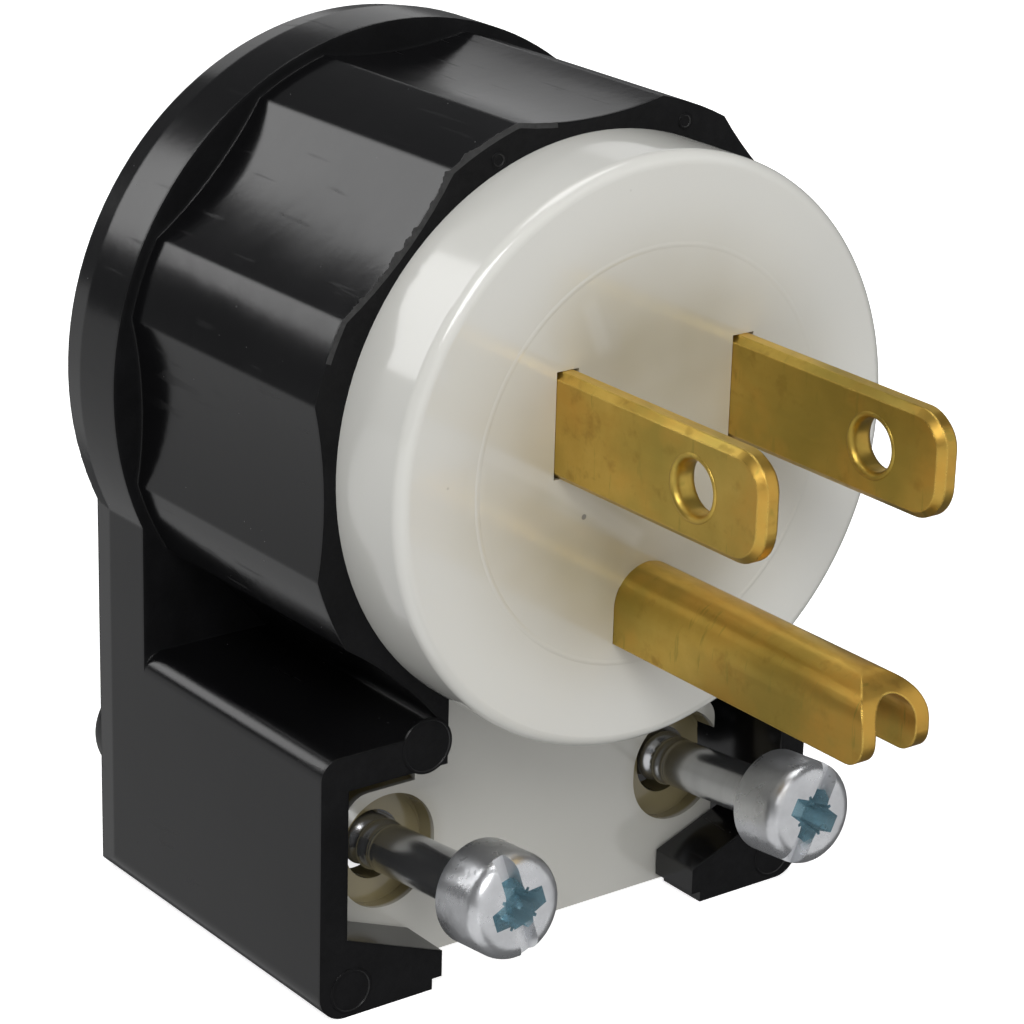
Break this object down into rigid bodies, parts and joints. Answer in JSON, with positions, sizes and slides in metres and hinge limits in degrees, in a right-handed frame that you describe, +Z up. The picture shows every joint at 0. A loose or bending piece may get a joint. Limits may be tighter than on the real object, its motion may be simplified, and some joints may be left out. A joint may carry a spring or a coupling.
{
  "type": "angled grounded plug, type B",
  "caption": "Rewireable angled type B plug: round white face with flat blades and a ground pin, scalloped black housing, and a cord box with a white clamp and its screws.",
  "frame": {"origin": "centre of the round contact face, in the plane of the face", "axes": "-Y the way the blades point, +Z up from the cord entry to the top of the housing, +X to the right as seen from in front"},
  "size_m": [0.0408, 0.0538, 0.054],
  "materials": {
    "black_moulding": "gloss",
    "white_face": "gloss",
    "retainer_plate": "satin",
    "white_clamp": "satin",
    "blade_metal": "polished",
    "pin_metal": "polished",
    "terminal_metal": "satin",
    "terminal_screw_metal": "satin",
    "ground_screw_metal": "satin",
    "fixing_metal": "satin",
    "zinc_screw": "satin"
  },
  "bodies": {
    "plug": {"housing": "black_moulding", "face_body": "white_face", "terminal_retainer": "retainer_plate", "blade_left": "blade_metal", "blade_right": "blade_metal", "ground_pin": "pin_metal", "wire_plate_left": "terminal_metal", "wire_plate_right": "terminal_metal", "wire_plate_ground": "terminal_metal", "terminal_screw_left": "terminal_screw_metal", "terminal_screw_right": "terminal_screw_metal", "terminal_screw_ground": "ground_screw_metal", "assembly_screw_left": "fixing_metal", "assembly_screw_right": "fixing_metal", "retainer_screw_left": "fixing_metal", "retainer_screw_right": "fixing_metal"},
    "cord_clamp": {"cord_clamp": "white_clamp"},
    "clamp_screw_left": {"clamp_screw_left": "zinc_screw"},
    "clamp_screw_right": {"clamp_screw_right": "zinc_screw"}
  },
  "joints": [
    {"name": "clamp_slide", "type": "slide", "parent": "plug", "child": "cord_clamp", "axis": [0, 1, 0], "range_m": [0, 0.004]},
    {"name": "screw_left_drive", "type": "slide", "parent": "plug", "child": "clamp_screw_left", "axis": [0, 0.9945, -0.1045], "range_m": [0, 0.0098]},
    {"name": "screw_right_drive", "type": "slide", "parent": "plug", "child": "clamp_screw_right", "axis": [0, 0.9945, -0.1045], "range_m": [0, 0.0098]}
  ]
}
